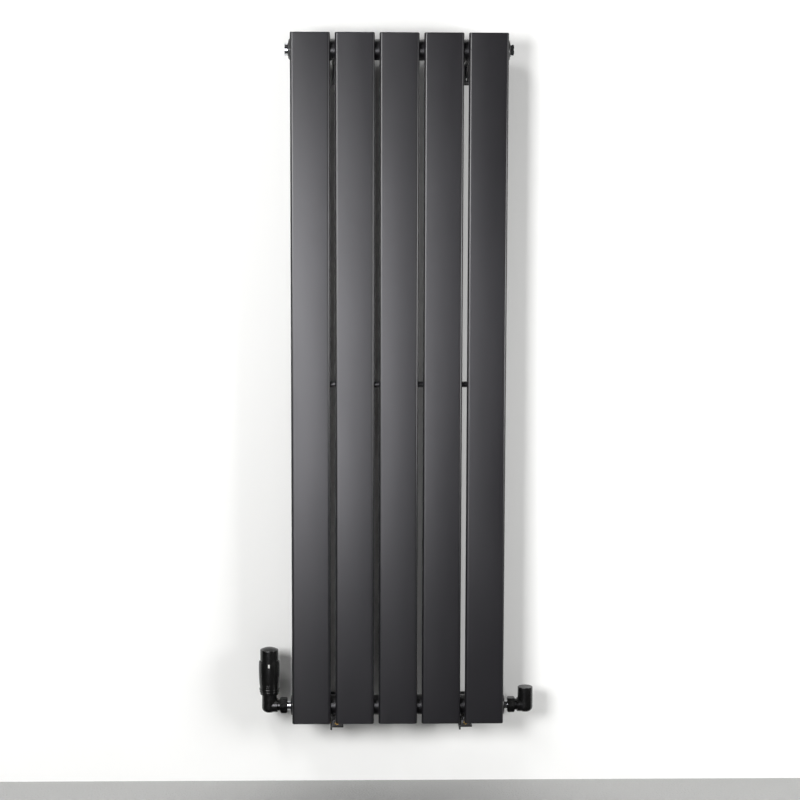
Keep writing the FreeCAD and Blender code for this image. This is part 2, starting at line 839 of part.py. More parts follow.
def lock_ring():
    """The ring that screws the thermostatic head down on the insert."""
    groove_bottom = insert_flange + ring_play
    groove_top = ring_top - ring_lip
    return turned(
        (insert_flange_radius, ring_start), (ring_radius - ring_foot_edge[0], ring_start),
        ((ring_radius - ring_foot[0], ring_start + ring_foot[1]),
         (ring_radius, ring_start + ring_foot_edge[1])),
        (ring_radius, ring_top - ring_shoulder_edge[1]),
        ((ring_radius - ring_shoulder[0], ring_top - ring_shoulder[1]),
         (ring_radius - ring_shoulder_edge[0], ring_top)),
        (ring_lip_radius, ring_top), (ring_lip_radius, groove_top), (ring_groove_radius, groove_top),
        (ring_groove_radius, groove_bottom), (insert_flange_radius, groove_bottom))


def barrel_profile_steps(offset):
    """The barrel's outside from foot to rim, moved out by an offset."""
    foot = (barrel_foot_radius + offset, barrel_start + barrel_foot_edge)
    waist = (barrel_waist_radius + offset, barrel_waist_height)
    rim = (barrel_rim_radius + offset, barrel_top - barrel_rim_edge[1])
    return foot, (waist, rim)


def head_barrel():
    """The fixed barrel of the head, with the sensor's guide in its middle, a pocket round the
    guide for the handwheel's skirt, a pointed notch in its rim and a round thumb recess."""
    foot, rim_arc = barrel_profile_steps(0)
    spigot_bottom = insert_flange + ring_play + spigot_play
    flange_radius = ring_groove_radius - spigot_play
    flange_top = ring_top - ring_lip - spigot_play
    neck = ring_lip_radius - spigot_side_play
    inside = neck - spigot_wall
    guide_inner = sensor_radius + sensor_clearance
    guide_outer = handwheel_bore - guide_gap
    pocket = handwheel_radius + handwheel_gap
    floor_top = barrel_start + barrel_floor
    tower = insert_tower_radius + tower_play
    barrel = turned(
        (inside, spigot_bottom), (flange_radius, spigot_bottom), (flange_radius, flange_top),
        (neck, flange_top), (neck, barrel_start), (barrel_foot_radius - barrel_foot_edge, barrel_start),
        foot, rim_arc,
        (barrel_rim_radius - barrel_rim_edge[0], barrel_top), (pocket, barrel_top), (pocket, barrel_pocket),
        (guide_outer, barrel_pocket), (guide_outer, guide_top), (guide_inner, guide_top),
        (guide_inner, floor_top), (tower, floor_top), (tower, barrel_start), (inside, barrel_start))
    for z in barrel_groove_heights:
        share = (z - barrel_start) / (barrel_waist_height - barrel_start)
        swell = (barrel_waist_radius - barrel_foot_radius) * math.sin(share * math.pi / 2)
        radius = barrel_foot_radius + swell + barrel_groove_lift
        barrel = barrel.cut(Part.makeTorus(radius, barrel_groove_radius, vec(0, 0, z)))
    return barrel.cut(notch_cutter()).cut(thumb_cutter())


def notch_cutter():
    """A V with a round tip, cut through the barrel's outer wall on the room side."""
    top = barrel_top + notch_over
    wide = notch_width / 2 * (top - notch_bottom) / (barrel_top - notch_bottom)
    front = -(barrel_waist_radius + notch_over)
    back = -(handwheel_bore - guide_gap) - notch_end_gap
    slope = math.atan2(wide, top - notch_bottom)
    centre = notch_bottom + notch_tip_radius
    side = notch_tip_radius * math.cos(slope)
    rise = notch_tip_radius * math.sin(slope)
    shape = outline(
        (-side, centre - rise), ((0, notch_bottom), (side, centre - rise)), (wide, top), (-wide, top))
    return moved(shape.extrude(vec(0, back - front, 0)), 0, front, 0)


def thumb_cutter():
    """A shallow round recess that follows the barrel's outside."""
    inner_foot, inner_arc = barrel_profile_steps(-thumb_depth)
    outer_foot, outer_arc = barrel_profile_steps(notch_over)
    shell = turned((0, outer_foot[1]), outer_foot, outer_arc, (0, outer_arc[1][1]))
    core = turned((0, inner_foot[1]), inner_foot, inner_arc, (0, inner_arc[1][1]))
    start = vec(0, -barrel_waist_radius - notch_over, thumb_height)
    front = rod(thumb_radius, start, vec(0, -thumb_back, thumb_height))
    return shell.cut(core).common(front)


def sensor():
    """The sealed temperature sensor, with its plunger below and a pivot for the handwheel above."""
    plunger_bottom = pin_above_body + plunger_gap
    shoulder = sensor_radius - sensor_edge
    return turned(
        (0, plunger_bottom), (plunger_radius, plunger_bottom), (plunger_radius, sensor_bottom),
        (shoulder, sensor_bottom), (sensor_radius, sensor_bottom + sensor_edge),
        (sensor_radius, sensor_top - sensor_edge), (shoulder, sensor_top), (pivot_radius, sensor_top),
        (pivot_radius, sensor_top + pivot_length), (0, sensor_top + pivot_length))


def mark_blocks():
    """The setting marks: small plates let into the handwheel's skirt, evenly stepped round it."""
    shell = tube(
        handwheel_radius, handwheel_radius - mark_depth,
        vec(0, 0, mark_middle - mark_height / 2), vec(0, 0, mark_middle + mark_height / 2))
    block = box(
        -mark_width / 2, mark_width / 2, -handwheel_radius - over, -handwheel_bore,
        mark_middle - mark_height / 2, mark_middle + mark_height / 2)
    block = shell.common(block)
    blocks = []
    for i in range(mark_count):
        turn = block.copy()
        turn.rotate(ORIGIN, UP, (mark_at_rest - i) * mark_step)
        blocks.append(turn)
    return blocks


def handwheel():
    """The turning sleeve, with its web on the sensor's pivot and pockets for the setting marks."""
    web_top = handwheel_web_height + handwheel_web
    hub = pivot_radius + pivot_clearance
    sleeve = turned(
        (handwheel_bore, handwheel_bottom), (handwheel_radius - handwheel_edge, handwheel_bottom),
        (handwheel_radius, handwheel_bottom + handwheel_edge), (handwheel_radius, handwheel_shoulder),
        (handwheel_bore, handwheel_shoulder), (handwheel_bore, web_top), (hub, web_top),
        (hub, handwheel_web_height), (handwheel_bore, handwheel_web_height))
    for block in mark_blocks():
        sleeve = sleeve.cut(block)
    return sleeve


def dome_middle(radius, base, apex):
    """A point halfway up a spherical dome that is centred on the axis."""
    rise = apex - base
    sphere = (radius ** 2 + rise ** 2) / (2 * rise)
    angle = math.asin(radius / sphere) / 2
    return sphere * math.sin(angle), apex - sphere + sphere * math.cos(angle)


def handwheel_cap():
    """The domed cap pressed into the handwheel's top."""
    spigot_bottom = handwheel_shoulder - cap_spigot_height
    inner = handwheel_bore - cap_spigot_wall
    apex = handwheel_shoulder + dome_height
    shoulder = handwheel_shoulder + dome_edge
    rim = handwheel_radius - dome_edge
    ceiling = apex - dome_wall
    return turned(
        (inner, spigot_bottom), (handwheel_bore, spigot_bottom), (handwheel_bore, handwheel_shoulder),
        (handwheel_radius, handwheel_shoulder),
        ((handwheel_radius - dome_edge * bend_in, handwheel_shoulder + dome_edge * bend_up),
         (rim, shoulder)),
        (dome_middle(rim, shoulder, apex), (0, apex)),
        (0, ceiling), (inner, handwheel_shoulder))


def lockshield_bonnet():
    """The screwed bonnet of the lockshield: threaded plug, hexagon and the spindle's bore."""
    top = body_top + bonnet_hex_height
    bore = spindle_radius + spindle_clearance
    plug = rod(insert_radius, vec(0, 0, chamber_half), vec(0, 0, body_top))
    head = chamfered_hexagon(bonnet_flats, body_top, top, bonnet_edge)
    groove = rod(
        stem_seal_radius, vec(0, 0, stem_seal_height), vec(0, 0, stem_seal_height + stem_seal_width))
    way_through = rod(bore, vec(0, 0, 0), vec(0, 0, top + over))
    return plug.fuse(head).cut(way_through).cut(groove).removeSplitter()


def stem_seal():
    return tube(
        stem_seal_radius, spindle_radius + spindle_clearance,
        vec(0, 0, stem_seal_height), vec(0, 0, stem_seal_height + stem_seal_width))


def lockshield_spindle():
    """The regulating spindle: a journal in the disc holder, the threaded stem and a square head."""
    square_bottom = body_top + bonnet_hex_height
    square_top = square_bottom + spindle_square_height
    half = spindle_square / 2
    stem = rod(spindle_radius, vec(0, 0, spindle_bottom), vec(0, 0, square_bottom))
    square = box(-half, half, -half, half, square_bottom, square_top)
    square = square.common(rod(spindle_radius, vec(0, 0, square_bottom), vec(0, 0, square_top + over)))
    holder_bottom = seat_half + lockshield_closing + seat_gap + disc_thickness
    journal = rod(spindle_tip_radius, vec(0, 0, holder_bottom + spindle_end_gap), vec(0, 0, spindle_bottom))
    return stem.fuse(square).fuse(journal).removeSplitter()


def lockshield_disc_holder():
    """The cup that holds the lockshield's rubber disc and slides in the chamber."""
    bottom = seat_half + lockshield_closing + seat_gap
    disc_top = bottom + disc_thickness
    top = spindle_bottom - spindle_clearance
    bore = spindle_tip_radius + spindle_clearance
    rivet_end = bottom + disc_hollow
    land = disc_radius - disc_land
    floor = disc_top + holder_floor
    return turned(
        (0, rivet_end), (disc_bore, rivet_end), (disc_bore, disc_top), (land, disc_top),
        (land, top - holder_edge), (land - holder_edge, top), (bore, top), (bore, floor), (0, floor))


def lockshield_cap():
    """The plain cap that is pushed down over the bonnet's hexagon."""
    grip = bonnet_flats / math.sqrt(3) + shield_grip_clearance
    grip_top = bonnet_hex_height
    inner = shield_radius - shield_wall
    ceiling = shield_top - shield_wall
    return turned(
        (grip, shield_start), (shield_radius, shield_start), (shield_radius, shield_top - shield_edge),
        ((shield_radius - shield_edge * bend_in, shield_top - shield_edge * bend_in),
         (shield_radius - shield_edge, shield_top)),
        (0, shield_top), (0, ceiling), (inner, ceiling), (inner, grip_top), (grip, grip_top))


def at_valve(shape, side, height=0.0):
    """Puts a valve part at the left (-1) or right (1) foot of the radiator, with its zero at a
    height above the branch's axis."""
    placed = shape if side < 0 else mirrored_x(shape)
    x = radiator_x + side * (half_width + valve_reach)
    return moved(placed, x, header_y, height - header_z)


def build_valves():
    shared = (
        ("body", valve_body()), ("union_nut", union_nut()), ("tail", tail()),
        ("tail_washer", tail_washer()), ("pipe_nut", pipe_nut()), ("olive", olive()))
    for prefix, side in (("thermostatic_valve_", -1), ("lockshield_valve_", 1)):
        for node, shape in shared:
            save(prefix + node, at_valve(shape, side))
    seat_top = chamber_half + spring_seat_thickness
    spring_middle = (pin_radius + spring_room_radius) / 2
    spring_seat = tube(spring_room_radius, spring_seat_hole, vec(0, 0, chamber_half), vec(0, 0, seat_top))
    inside_body = (
        ("thermostatic_insert", thermostatic_insert()), ("spring_seat", spring_seat),
        ("pin_spring", coil(spring_middle, spring_wire, spring_turns, seat_top, pin_collar_height)),
        ("valve_pin", valve_pin()), ("valve_disc", rubber_disc(pin_closing)))
    for node, shape in inside_body:
        save(node, at_valve(shape, -1))
    head = (
        ("head_lock_ring", lock_ring()), ("head_barrel", head_barrel()), ("thermostat_sensor", sensor()),
        ("overload_spring", coil(
            overload_radius, overload_wire, overload_turns, sensor_top, handwheel_web_height)),
        ("handwheel", handwheel()), ("handwheel_cap", handwheel_cap()))
    for node, shape in head:
        save(node, at_valve(shape, -1, body_top))
    save("setting_marks", *[at_valve(block, -1, body_top) for block in mark_blocks()])
    right = (
        ("lockshield_bonnet", lockshield_bonnet()), ("lockshield_stem_seal", stem_seal()),
        ("lockshield_spindle", lockshield_spindle()),
        ("lockshield_disc_holder", lockshield_disc_holder()),
        ("lockshield_disc", rubber_disc(lockshield_closing)))
    for node, shape in right:
        save(node, at_valve(shape, 1))
    save("lockshield_cap", at_valve(lockshield_cap(), 1, body_top))


os.makedirs("parts", exist_ok=True)
build_radiator()
build_plugs()
build_brackets()
build_valves()
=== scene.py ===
import math

import bmesh
import bpy
from mathutils import Matrix, Vector


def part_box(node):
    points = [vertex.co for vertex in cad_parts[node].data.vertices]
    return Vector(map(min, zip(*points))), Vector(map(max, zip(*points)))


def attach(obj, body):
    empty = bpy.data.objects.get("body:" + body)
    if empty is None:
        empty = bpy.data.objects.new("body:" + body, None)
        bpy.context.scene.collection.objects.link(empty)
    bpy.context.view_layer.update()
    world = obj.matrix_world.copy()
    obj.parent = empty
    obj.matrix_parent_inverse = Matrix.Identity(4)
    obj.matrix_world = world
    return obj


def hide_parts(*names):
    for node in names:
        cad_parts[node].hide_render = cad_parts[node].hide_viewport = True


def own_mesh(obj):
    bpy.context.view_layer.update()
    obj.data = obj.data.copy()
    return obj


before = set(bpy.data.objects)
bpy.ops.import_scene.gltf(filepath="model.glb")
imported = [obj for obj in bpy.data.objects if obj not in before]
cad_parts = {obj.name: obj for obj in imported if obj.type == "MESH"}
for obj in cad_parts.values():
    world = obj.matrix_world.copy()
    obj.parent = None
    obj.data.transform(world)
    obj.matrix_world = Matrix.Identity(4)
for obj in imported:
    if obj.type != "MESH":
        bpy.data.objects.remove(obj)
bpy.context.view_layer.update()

# ---- Camera ----
# It stands level with the upper half of the radiator, a little left of its middle, and looks down
# at it slightly.

camera_place = Vector((-0.0782, -3.106, 0.2937))
camera_yaw = math.radians(1.40)
camera_pitch = math.radians(6.02)
camera_roll = math.radians(0.16)
camera_lens = 79.3
camera_sensor = 36.0

ahead = Vector((
    math.sin(camera_yaw) * math.cos(camera_pitch),
    math.cos(camera_yaw) * math.cos(camera_pitch),
    -math.sin(camera_pitch)))
level = Vector((math.cos(camera_yaw), -math.sin(camera_yaw), 0.0))
upright = level.cross(ahead)
right = level * math.cos(camera_roll) + upright * math.sin(camera_roll)
up = upright * math.cos(camera_roll) - level * math.sin(camera_roll)
turn = Matrix((right, up, -ahead)).transposed()
camera = bpy.data.objects.new("camera", bpy.data.cameras.new("camera"))
camera.data.lens = camera_lens
camera.data.sensor_width = camera_sensor
camera.matrix_world = Matrix.Translation(camera_place) @ turn.to_4x4()
bpy.context.scene.collection.objects.link(camera)
bpy.context.scene.camera = camera

# ---- Panels ----
# Five flat oval tubes of rolled steel stand side by side and carry the water. Their long edges are
# fully rounded, and the whole radiator is powder coated in one go after it is welded up.

panels = ["panel_%d" % number for number in range(1, 6)]
panel_wall = 0.0015
panel_edge = 0.005
corner_steps = 12
crease_angle = 35.0


class Wire:
    """A socket of a finish's nodes. Arithmetic on it adds Math nodes."""

    def __init__(self, socket):
        self.socket = socket

    def node(self, kind, settings, inputs, output=0):
        """Any other node: its settings are set first, then its sockets are filled or linked."""
        tree = self.socket.id_data
        made = tree.nodes.new(kind)
        for name, value in settings.items():
            setattr(made, name, value)
        for key, value in inputs.items():
            if isinstance(value, Wire):
                tree.links.new(value.socket, made.inputs[key])
            else:
                made.inputs[key].default_value = value
        return Wire(made.outputs[output])

    def math(self, operation, first, second):
        return self.node("ShaderNodeMath", {"operation": operation}, {0: first, 1: second})

    def __add__(self, other):
        return self.math("ADD", self, other)

    __radd__ = __add__

    def __sub__(self, other):
        return self.math("SUBTRACT", self, other)

    def __rsub__(self, other):
        return self.math("SUBTRACT", other, self)

    def __mul__(self, other):
        return self.math("MULTIPLY", self, other)

    def noise(self, scale, detail, stretch=(1.0, 1.0, 1.0)):
        """Smooth noise from 0 to 1 at this place, with a grain of about 1 / scale metres."""
        place = self
        if stretch != (1.0, 1.0, 1.0):
            place = self.node("ShaderNodeMapping", {}, {"Vector": self, "Scale": stretch})
        return self.node("ShaderNodeTexNoise", {}, {"Vector": place, "Scale": scale, "Detail": detail})

    def between(self, low, high):
        """0 below low, 1 above high, and a smooth rise between them."""
        return self.node("ShaderNodeMapRange", {"interpolation_type": "SMOOTHSTEP"},
                         {"Value": self, "From Min": low, "From Max": high})

    def blend(self, first, second, mode="MIX"):
        """A second colour laid over a first by this share."""
        return self.node("ShaderNodeMix", {"data_type": "RGBA", "blend_type": mode},
                         {"Factor": self, "A": first, "B": second}, 2)


def new_finish(name):
    """A new material, and the place on the object as a wire in it."""
    finish = bpy.data.materials.new(name)
    finish.use_nodes = True
    coordinate = finish.node_tree.nodes.new("ShaderNodeTexCoord")
    return finish, Wire(coordinate.outputs["Object"])


def surface(finish, height, depth, **values):
    """Fills the Principled node: plain numbers are set on its sockets and wires are linked. The
    height, from 0 to 1, is drawn as relief of this depth."""
    tree = finish.node_tree
    shader = tree.nodes["Principled BSDF"]
    for name, value in values.items():
        socket = shader.inputs[name.replace("_", " ")]
        if isinstance(value, Wire):
            tree.links.new(value.socket, socket)
        else:
            socket.default_value = value
    bump = height.node("ShaderNodeBump", {}, {"Height": height, "Distance": depth, "Strength": 1.0})
    tree.links.new(bump.socket, shader.inputs["Normal"])


def grey(value, warm=0.0):
    return (value * (1 + warm), value, value * (1 - warm), 1.0)


def powder_coat(name, dark, light, smooth, rough, dust):
    """Satin powder coat: an uneven film with a fine orange peel, a speck of metallic grain, faint
    wipe marks and a little dust on what faces up."""
    finish, place = new_finish(name)
    normal = Wire(place.socket.node.outputs["Normal"])
    cloud = place.noise(7.0, 4.0, (1.0, 1.0, 0.45))
    speck = place.noise(1900.0, 1.0)
    peel = place.noise(520.0, 3.0)
    wiped = place.noise(16.0, 5.0, (1.0, 1.0, 0.18))
    facing_up = normal.node("ShaderNodeSeparateXYZ", {}, {0: normal}, "Z").between(0.55, 1.0)
    settled = facing_up * place.noise(90.0, 4.0).between(0.2, 0.9) * dust
    film = cloud * 0.55 + speck * 0.45
    colour = settled.blend(film.between(0.28, 0.72).blend(dark, light), grey(0.28, 0.04))
    roughness = wiped.between(0.3, 0.75) * (rough - smooth) + smooth + settled * 0.2
    surface(finish, peel * 0.7 + speck * 0.3, depth=0.00006, Base_Color=colour, Roughness=roughness,
            Metallic=0.0, Specular_IOR_Level=0.5)
    return finish


def skin(name, rings, loop=False, sharp=crease_angle):
    """A mesh through rings of points, each with as many points. It is capped at both ends, or its
    last ring joins its first."""
    form = bmesh.new()
    rows = [[form.verts.new(point) for point in ring] for ring in rings]
    pairs = list(zip(rows, rows[1:]))
    if loop:
        pairs.append((rows[-1], rows[0]))
    else:
        form.faces.new(rows[0])
        form.faces.new(rows[-1])
    for low, high in pairs:
        for i in range(len(low)):
            j = (i + 1) % len(low)
            form.faces.new((low[i], low[j], high[j], high[i]))
    bmesh.ops.recalc_face_normals(form, faces=form.faces)
    mesh = bpy.data.meshes.new(name)
    form.to_mesh(mesh)
    form.free()
    mesh.shade_smooth()
    mesh.set_sharp_from_angle(angle=math.radians(sharp))
    return mesh


def fit(name, mesh, finish, slot, body, *nodes):
    """Puts a finished mesh on the radiator: it rides on a body and stands for some CAD nodes."""
    piece = bpy.data.objects.new(name, mesh)
    bpy.context.scene.collection.objects.link(piece)
    mesh.materials.clear()
    mesh.materials.append(finish)
    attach(piece, body)
    if nodes:
        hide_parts(*nodes)
    return piece


def dress(finish, *nodes):
    """Gives CAD nodes their finish."""
    for node in nodes:
        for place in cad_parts[node].material_slots:
            place.material = finish


def oval(half_width, half_depth, radius, middle, z):
    """A rounded rectangle about (x, y) at one height."""
    ring = []
    for quarter in range(4):
        side = 1 if quarter in (0, 3) else -1
        face = 1 if quarter < 2 else -1
        for i in range(corner_steps + 1):
            a = math.radians(90 * (quarter + i / corner_steps))
            ring.append((
                middle[0] + side * (half_width - radius) + radius * math.cos(a),
                middle[1] + face * (half_depth - radius) + radius * math.sin(a), z))
    return ring


anthracite = powder_coat(
    "anthracite_powder_coat", dark=(0.0052, 0.0048, 0.0062, 1.0), light=(0.0088, 0.0082, 0.0104, 1.0),
    smooth=0.31, rough=0.36, dust=0.08)
for node in panels:
    low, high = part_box(node)
    middle = (low + high) / 2
    half = (high - low) / 2
    outer = [oval(half.x, half.y, panel_edge, middle, z) for z in (low.z, high.z)]
    inner = [oval(half.x - panel_wall, half.y - panel_wall, panel_edge - panel_wall, middle, z)
             for z in (high.z, low.z)]
    fit(node + "_tube", skin(node + "_tube", outer + inner, loop=True), anthracite,
        "anthracite_coat", "radiator", node)
dress(anthracite, "panel_ends_top", "panel_ends_bottom")

# ---- Headers ----
# A round header runs behind the panels near each end. Short pipes lead from the panels into it,
# its ends are closed by pressed caps, and all of it is arc welded.

header_wall = 0.0015
header_sides = 96
header_weld_half = 0.019
weld_pitch = 0.0017
weld_ring = weld_pitch / 4
weld_bar = 0.018
weld_root = 0.0032
weld_reach = 0.0078
weld_shoulder = 0.84
weld_crown = 0.92
weld_swell = 0.00045
weld_ripple = 0.00012
weld_sink = 0.0002
weld_lip = 0.0003
weld_tuck = 0.0001
weld_end = 0.05
weld_crease = 70.0


def circle(x, y, z, radius, sides):
    """A ring of points about an axis along X."""
    ring = []
    for i in range(sides):
        a = 2 * math.pi * i / sides
        ring.append((x, y + radius * math.cos(a), z + radius * math.sin(a)))
    return ring


def pipe(name, ends, y, z, radius, wall, sides):
    """An open tube along X."""
    outer = [circle(x, y, z, radius, sides) for x in ends]
    inner = [circle(x, y, z, radius - wall, sides) for x in reversed(ends)]
    return skin(name, outer + inner, loop=True)


def join(name, meshes):
    """One mesh of several."""
    form = bmesh.new()
    for mesh in meshes:
        form.from_mesh(mesh)
        bpy.data.meshes.remove(mesh)
    whole = bpy.data.meshes.new(name)
    form.to_mesh(whole)
    form.free()
    whole.set_sharp_from_angle(angle=math.radians(crease_angle))
    return whole


def fillet_weld(x, axis_y, axis_z, radius, plane_y, side, half):
    """A rippled bead in the corner between a round bar and the flat back of a panel. The weld's
    root and reach are those on a bar of the weld_bar radius."""
    rings = []
    steps = int(2 * half / weld_ring)
    root = weld_root * radius / weld_bar
    most = weld_reach * radius / weld_bar
    foot = axis_y - math.sqrt(radius ** 2 - root ** 2)
    for i in range(steps + 1):
        along = -half + 2 * half * i / steps
        end = max(weld_end, 1 - abs(along / half) ** 6) ** 0.5
        swell = (weld_swell + weld_ripple * math.cos(2 * math.pi * along / weld_pitch)) * end
        reach = root + (most - root) * end
        shoulder = reach * weld_shoulder
        bar = axis_y - math.sqrt(radius ** 2 - shoulder ** 2)
        profile = (
            (plane_y - weld_sink, root),
            (plane_y - weld_sink, reach),
            (plane_y + weld_lip + swell * 0.6, reach - weld_tuck + swell * 0.4),
            ((plane_y + bar) / 2 + swell, reach * weld_crown + swell),
            (bar + weld_sink, shoulder),
            (foot + weld_sink, root))
        rings.append([(x + along, y, axis_z + side * away) for y, away in profile])
    return skin("bead", rings, sharp=weld_crease)


def weld_to_panels(name, axis_y, axis_z, radius, half):
    """Welds a bar above and below where it crosses each panel. The beads are one piece."""
    beads = []
    for node in panels:
        first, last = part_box(node)
        for side in (-1, 1):
            beads.append(fillet_weld((first.x + last.x) / 2, axis_y, axis_z, radius, last.y, side, half))
    fit(name, join(name, beads), anthracite, "anthracite_coat", "radiator")


for end in ("top", "bottom"):
    low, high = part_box("header_" + end)
    axis_y = (low.y + high.y) / 2
    axis_z = (low.z + high.z) / 2
    radius = (high.z - low.z) / 2
    name = "header_%s_pipe" % end
    mesh = pipe(name, (low.x, high.x), axis_y, axis_z, radius, header_wall, header_sides)
    fit(name, mesh, anthracite, "anthracite_coat", "radiator", "header_" + end)
    weld_to_panels("header_%s_welds" % end, axis_y, axis_z, radius, header_weld_half)
dress(anthracite, "header_end_caps_top", "header_end_caps_bottom", "panel_nipples_top",
      "panel_nipples_bottom")

# ---- Stiffener ----
# A round bar crosses behind the panels at mid-height and keeps them in line. It is tacked to the
# back of each panel.

stiffener_sides = 48
stiffener_edge = 0.0008
stiffener_knee = stiffener_edge * 0.3
tack_half = 0.008
end_profile = ((0.0, stiffener_edge), (stiffener_knee, stiffener_knee), (stiffener_edge, 0.0))
low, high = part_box("stiffener_bar")
bar_y = (low.y + high.y) / 2
bar_z = (low.z + high.z) / 2
bar_radius = (high.z - low.z) / 2
rings = [circle(low.x + along, bar_y, bar_z, bar_radius - inward, stiffener_sides)
         for along, inward in end_profile]
rings += [circle(high.x - along, bar_y, bar_z, bar_radius - inward, stiffener_sides)
          for along, inward in reversed(end_profile)]
fit("stiffener_rod", skin("stiffener_rod", rings), anthracite, "anthracite_coat", "radiator",
    "stiffener_bar")
weld_to_panels("stiffener_tacks", bar_y, bar_z, bar_radius, tack_half)

# ---- Air vent and blanking plug ----
# Chromed brass plugs are screwed into the upper header's ends on rubber seals. The left one holds
# the bleed screw, whose square head stands in a recess.


def plated(name, dark, light, gloss, smear):
    """Bright plating on turned metal: faint tool rings under it and smears of handling on it."""
    finish, place = new_finish(name)
    tone = place.noise(110.0, 3.0)
    wiped = place.noise(420.0, 4.0, (0.4, 1.0, 1.0))
    tool = place.noise(2600.0, 1.0, (1.0, 0.12, 0.12))
    pit = place.noise(3800.0, 1.0).between(0.62, 0.8)
    colour = (tone * 0.7 + pit * 0.3).between(0.3, 0.75).blend(light, dark)
    roughness = wiped.between(0.35, 0.8) * smear + gloss + pit * 0.1
    surface(finish, tool * 0.7 - pit * 0.5, depth=0.000012, Base_Color=colour, Roughness=roughness,
            Metallic=1.0)
    return finish


def rubber(name):
    """Black moulded rubber with a dry bloom in places."""
    finish, place = new_finish(name)
    bloom = place.noise(300.0, 4.0).between(0.45, 0.8)
    grain = place.noise(2400.0, 2.0)
    colour = (bloom * 0.6 + grain * 0.25).blend(grey(0.010), grey(0.035, 0.05))
    surface(finish, grain, depth=0.00003, Base_Color=colour, Roughness=bloom * 0.2 + 0.6)
    return finish


chrome = plated("bright_chrome", dark=(0.50, 0.51, 0.53, 1.0), light=(0.72, 0.73, 0.75, 1.0),
                gloss=0.07, smear=0.16)
brass = plated("turned_brass", dark=(0.52, 0.33, 0.11, 1.0), light=(0.80, 0.58, 0.25, 1.0),
               gloss=0.22, smear=0.2)
seal_rubber = rubber("seal_rubber")
dress(chrome, "air_vent_plug", "blanking_plug")
dress(seal_rubber, "air_vent_seal", "blanking_plug_seal", "bleed_tip")
dress(brass, "bleed_screw")

# ---- Upper brackets ----
# Two pressed steel hooks are screwed to the wall and carry the upper header. A nylon liner clipped
# in each hook keeps steel off steel.

bracket_edge = 0.0004
bracket_edge_steps = 2
same_point = 0.000001
flat_angle = 0.5
edge_angle = 40.0
eased_crease = 50.0


def sheet_paint(name):
    """Dipped black paint on pressed steel, thin and glossy, worn to grey primer in small chips."""
    finish, place = new_finish(name)
    flow = place.noise(120.0, 3.0, (1.0, 1.0, 0.3))
    chip = place.noise(700.0, 4.0).between(0.71, 0.76)
    peel = place.noise(900.0, 2.0)
    colour = chip.blend(grey(0.017, 0.01), grey(0.12, 0.05))
    colour = (flow.between(0.3, 0.8) * 0.4).blend(colour, grey(0.45), "MULTIPLY")
    surface(finish, peel * 0.6 - chip * 0.8, depth=0.00004, Base_Color=colour,
            Roughness=flow.between(0.2, 0.9) * 0.14 + 0.3 + chip * 0.3)
    return finish


def moulded(name, dark, light, gloss, grain_depth, grain_scale):
    """Moulded plastic with an eroded grain, flow marks and places rubbed a little smoother."""
    finish, place = new_finish(name)
    flow = place.noise(60.0, 3.0, (1.0, 1.0, 0.4))
    grain = place.noise(grain_scale, 2.0)
    rubbed = place.noise(210.0, 4.0).between(0.5, 0.75)
    colour = (flow * 0.6 + grain * 0.4).between(0.3, 0.7).blend(dark, light)
    surface(finish, grain, depth=grain_depth, Base_Color=colour,
            Roughness=gloss + flow * 0.08 - rubbed * 0.07, Specular_IOR_Level=0.45)
    return finish


def eased(node, width, steps):
    """A mesh like a CAD node's, with its sharp edges broken as pressing or tumbling leaves them."""
    form = bmesh.new()
    form.from_mesh(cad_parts[node].data)
    bmesh.ops.remove_doubles(form, verts=form.verts, dist=same_point)
    bmesh.ops.dissolve_limit(form, angle_limit=math.radians(flat_angle), verts=form.verts,
                             edges=form.edges)
    sharp = [edge for edge in form.edges
             if edge.is_manifold and edge.calc_face_angle() > math.radians(edge_angle)]
    bmesh.ops.bevel(form, geom=sharp, offset=width, segments=steps, profile=0.5, affect="EDGES",
                    clamp_overlap=True)
    mesh = bpy.data.meshes.new(node + "_eased")
    form.to_mesh(mesh)
    form.free()
    mesh.shade_smooth()
    mesh.set_sharp_from_angle(angle=math.radians(eased_crease))
    return mesh


bracket_black = sheet_paint("bracket_paint")
nylon = moulded("black_nylon", grey(0.012), grey(0.022), gloss=0.42, grain_depth=0.00003,
                grain_scale=1500.0)
for side in ("left", "right"):
    node = "bracket_top_" + side
    fit(node + "_hook", eased(node, bracket_edge, bracket_edge_steps), bracket_black,
        "bracket_paint", "radiator", node)
dress(nylon, "hook_liners")

# ---- Lower brackets ----
# Two pressed shelves stand under the lower header. Each holds it in a nylon saddle that an upright
# screw sets for height and a yellow zinc bolt clamps to the shelf's lip.

thread_pitch = 0.001
thread_depth = 0.00054945
thread_sides = 24
thread_rings_per_turn = 8
thread_lead = 0.0006
thread_chamfer = 0.0004
thread_crease = 60.0


def threaded_rod(name, x, y, bottom, top, radius):
    """A rod along Z with a rolled thread, chamfered at both ends."""
    rings = []
    count = int((top - bottom) / thread_pitch * thread_rings_per_turn)
    for i in range(count + 1):
        z = bottom + (top - bottom) * i / count
        full = min(1.0, min(z - bottom, top - z) / thread_lead)
        ring = []
        for j in range(thread_sides):
            a = 2 * math.pi * j / thread_sides
            phase = (z / thread_pitch - j / thread_sides) % 1.0
            crest = abs(phase - 0.5) * 2
            r = radius - thread_depth * (1 - crest) - thread_chamfer * (1 - full)
            ring.append((x + r * math.cos(a), y + r * math.sin(a), z))
        rings.append(ring)
    return skin(name, rings, sharp=thread_crease)


